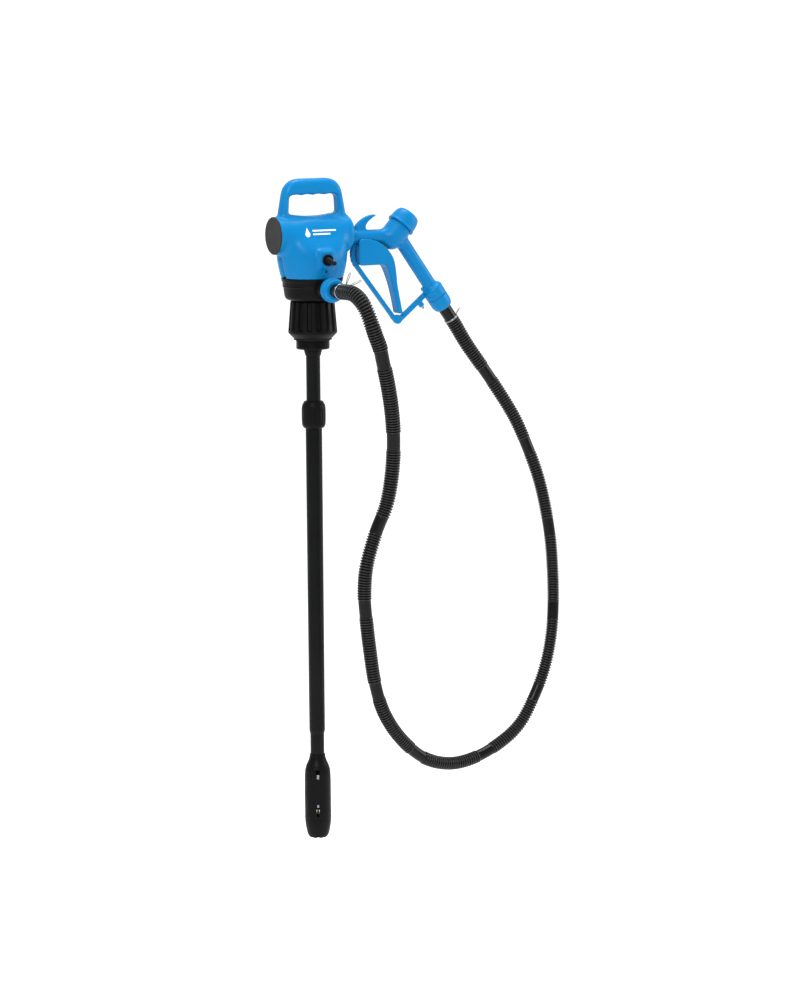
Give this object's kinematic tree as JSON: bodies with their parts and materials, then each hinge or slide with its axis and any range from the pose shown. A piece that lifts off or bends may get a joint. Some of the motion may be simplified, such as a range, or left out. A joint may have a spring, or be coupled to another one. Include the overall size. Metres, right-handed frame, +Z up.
{
  "type": "drum barrel pump",
  "caption": "Rechargeable drum pump: a handled head on a bung nut, a telescopic tube with a motor in its foot, and a corrugated hose to a hand nozzle in a side holster.",
  "frame": {"origin": "on the tube's axis, at the plane where the nut's gasket seats on the drum's bung", "axes": "+Z up the tube, +X towards the nozzle and its holster, -Y towards the outlet and the switch"},
  "size_m": [0.5448, 0.2627, 1.1715],
  "materials": {
    "blue_plastic": "satin moulded blue plastic with a fine grain",
    "black_plastic": "satin moulded black plastic",
    "dark_grey_plastic": "matt dark grey plastic",
    "tube_plastic": "smooth black extruded plastic tube",
    "black_rubber": "soft black rubber",
    "steel": "bright plated steel",
    "brass": "turned brass",
    "cell_wrap": "shrink-wrapped cell",
    "circuit_board": "solder-masked board",
    "red_lens": "clear red light lens"
  },
  "bodies": {
    "drum_nut": {"bung_nut": "black_plastic", "bung_gasket": "black_rubber"},
    "head": {"base_housing": "black_plastic", "housing_front_shell": "blue_plastic", "housing_rear_shell": "blue_plastic", "handle_front": "blue_plastic", "handle_rear": "blue_plastic", "housing_screw_1": "steel", "housing_screw_2": "steel", "housing_screw_3": "steel", "housing_screw_4": "steel", "housing_screw_5": "steel", "housing_screw_6": "steel", "battery_cell_1": "cell_wrap", "battery_cell_2": "cell_wrap", "battery_cell_3": "cell_wrap", "battery_cell_4": "cell_wrap", "battery_holder": "black_plastic", "control_board": "circuit_board", "switch_body": "black_plastic", "switch_nut": "black_rubber", "charge_light": "red_lens", "nozzle_holster": "black_plastic", "outlet_washer": "black_rubber", "outlet_hose_tail": "black_plastic", "outlet_clamp": "steel", "inner_tube": "tube_plastic", "tube_bushing": "black_plastic", "motor_cable": "black_rubber", "hose": "black_rubber"},
    "battery_cap": {"battery_cap": "dark_grey_plastic", "cap_seal": "black_rubber"},
    "power_toggle": {"toggle_lever": "steel", "toggle_boot": "black_rubber"},
    "outlet_nut": {"outlet_nut": "blue_plastic"},
    "lower_tube": {"outer_tube": "tube_plastic", "tube_seal": "black_rubber", "motor_housing": "black_plastic", "strainer_cap": "black_plastic", "submersible_motor": "steel", "shaft_seal": "black_rubber"},
    "lock_collar": {"lock_collar": "black_plastic"},
    "impeller": {"motor_shaft": "steel", "impeller": "brass"},
    "nozzle": {"nozzle_body": "blue_plastic", "nozzle_guard": "blue_plastic", "valve_cap": "blue_plastic", "valve_spring": "steel", "trigger_pin": "steel", "nozzle_hose_tail": "black_plastic", "nozzle_clamp": "steel"},
    "nozzle_hose_nut": {"hose_nut": "blue_plastic"},
    "trigger": {"trigger_lever": "blue_plastic"},
    "valve": {"valve_poppet": "brass"},
    "hold_open_pin": {"hold_open_pin": "steel"}
  },
  "joints": [
    {"name": "head_swivel", "type": "hinge", "parent": "drum_nut", "child": "head", "pos_m": [0, 0, 0.07], "axis": [0, 0, 1], "continuous": true},
    {"name": "battery_cap_pull", "type": "slide", "parent": "head", "child": "battery_cap", "axis": [-1, 0, 0], "range_m": [0, 0.04]},
    {"name": "switch_toggle", "type": "hinge", "parent": "head", "child": "power_toggle", "pos_m": [0, -0.0623, 0.143], "axis": [-1, 0, 0], "range_deg": [0, 20]},
    {"name": "outlet_nut_turn", "type": "hinge", "parent": "head", "child": "outlet_nut", "pos_m": [0, -0.084, 0.092], "axis": [0, -1, 0], "continuous": true},
    {"name": "tube_slide", "type": "slide", "parent": "head", "child": "lower_tube", "axis": [0, 0, 1], "range_m": [-0.3, 0.07], "deforming": ["motor_cable"]},
    {"name": "collar_turn", "type": "hinge", "parent": "lower_tube", "child": "lock_collar", "pos_m": [0, 0, -0.13], "axis": [0, 0, 1], "range_deg": [0, 120]},
    {"name": "impeller_spin", "type": "hinge", "parent": "lower_tube", "child": "impeller", "pos_m": [0, 0, -0.86], "axis": [0, 0, 1], "continuous": true},
    {"name": "nozzle_pull", "type": "slide", "parent": "head", "child": "nozzle", "axis": [1, 0, 0], "range_m": [0, 0.09], "deforming": ["hose"]},
    {"name": "hose_nut_turn", "type": "hinge", "parent": "nozzle", "child": "nozzle_hose_nut", "pos_m": [0.2519, 0, 0.0548], "axis": [0.5707, 0, -0.8211], "continuous": true},
    {"name": "trigger_squeeze", "type": "hinge", "parent": "nozzle", "child": "trigger", "pos_m": [0.1046, 0, 0.149], "axis": [0, -1, 0], "range_deg": [0, 9.5], "stiffness_Nm_per_rad": 1.2, "springref_deg": -8.59},
    {"name": "valve_lift", "type": "slide", "parent": "nozzle", "child": "valve", "axis": [0.6691, 0, 0.7431], "range_m": [0, 0.0036], "deforming": ["valve_spring"]},
    {"name": "hold_open_press", "type": "slide", "parent": "nozzle", "child": "hold_open_pin", "axis": [-0.5707, 0, 0.8211], "range_m": [0, 0.005], "stiffness_N_per_m": 300, "springref_m": -0.002}
  ],
  "couplings": [
    {"joint": "valve_lift", "follows": "trigger_squeeze", "m_per_rad": 0.021}
  ]
}
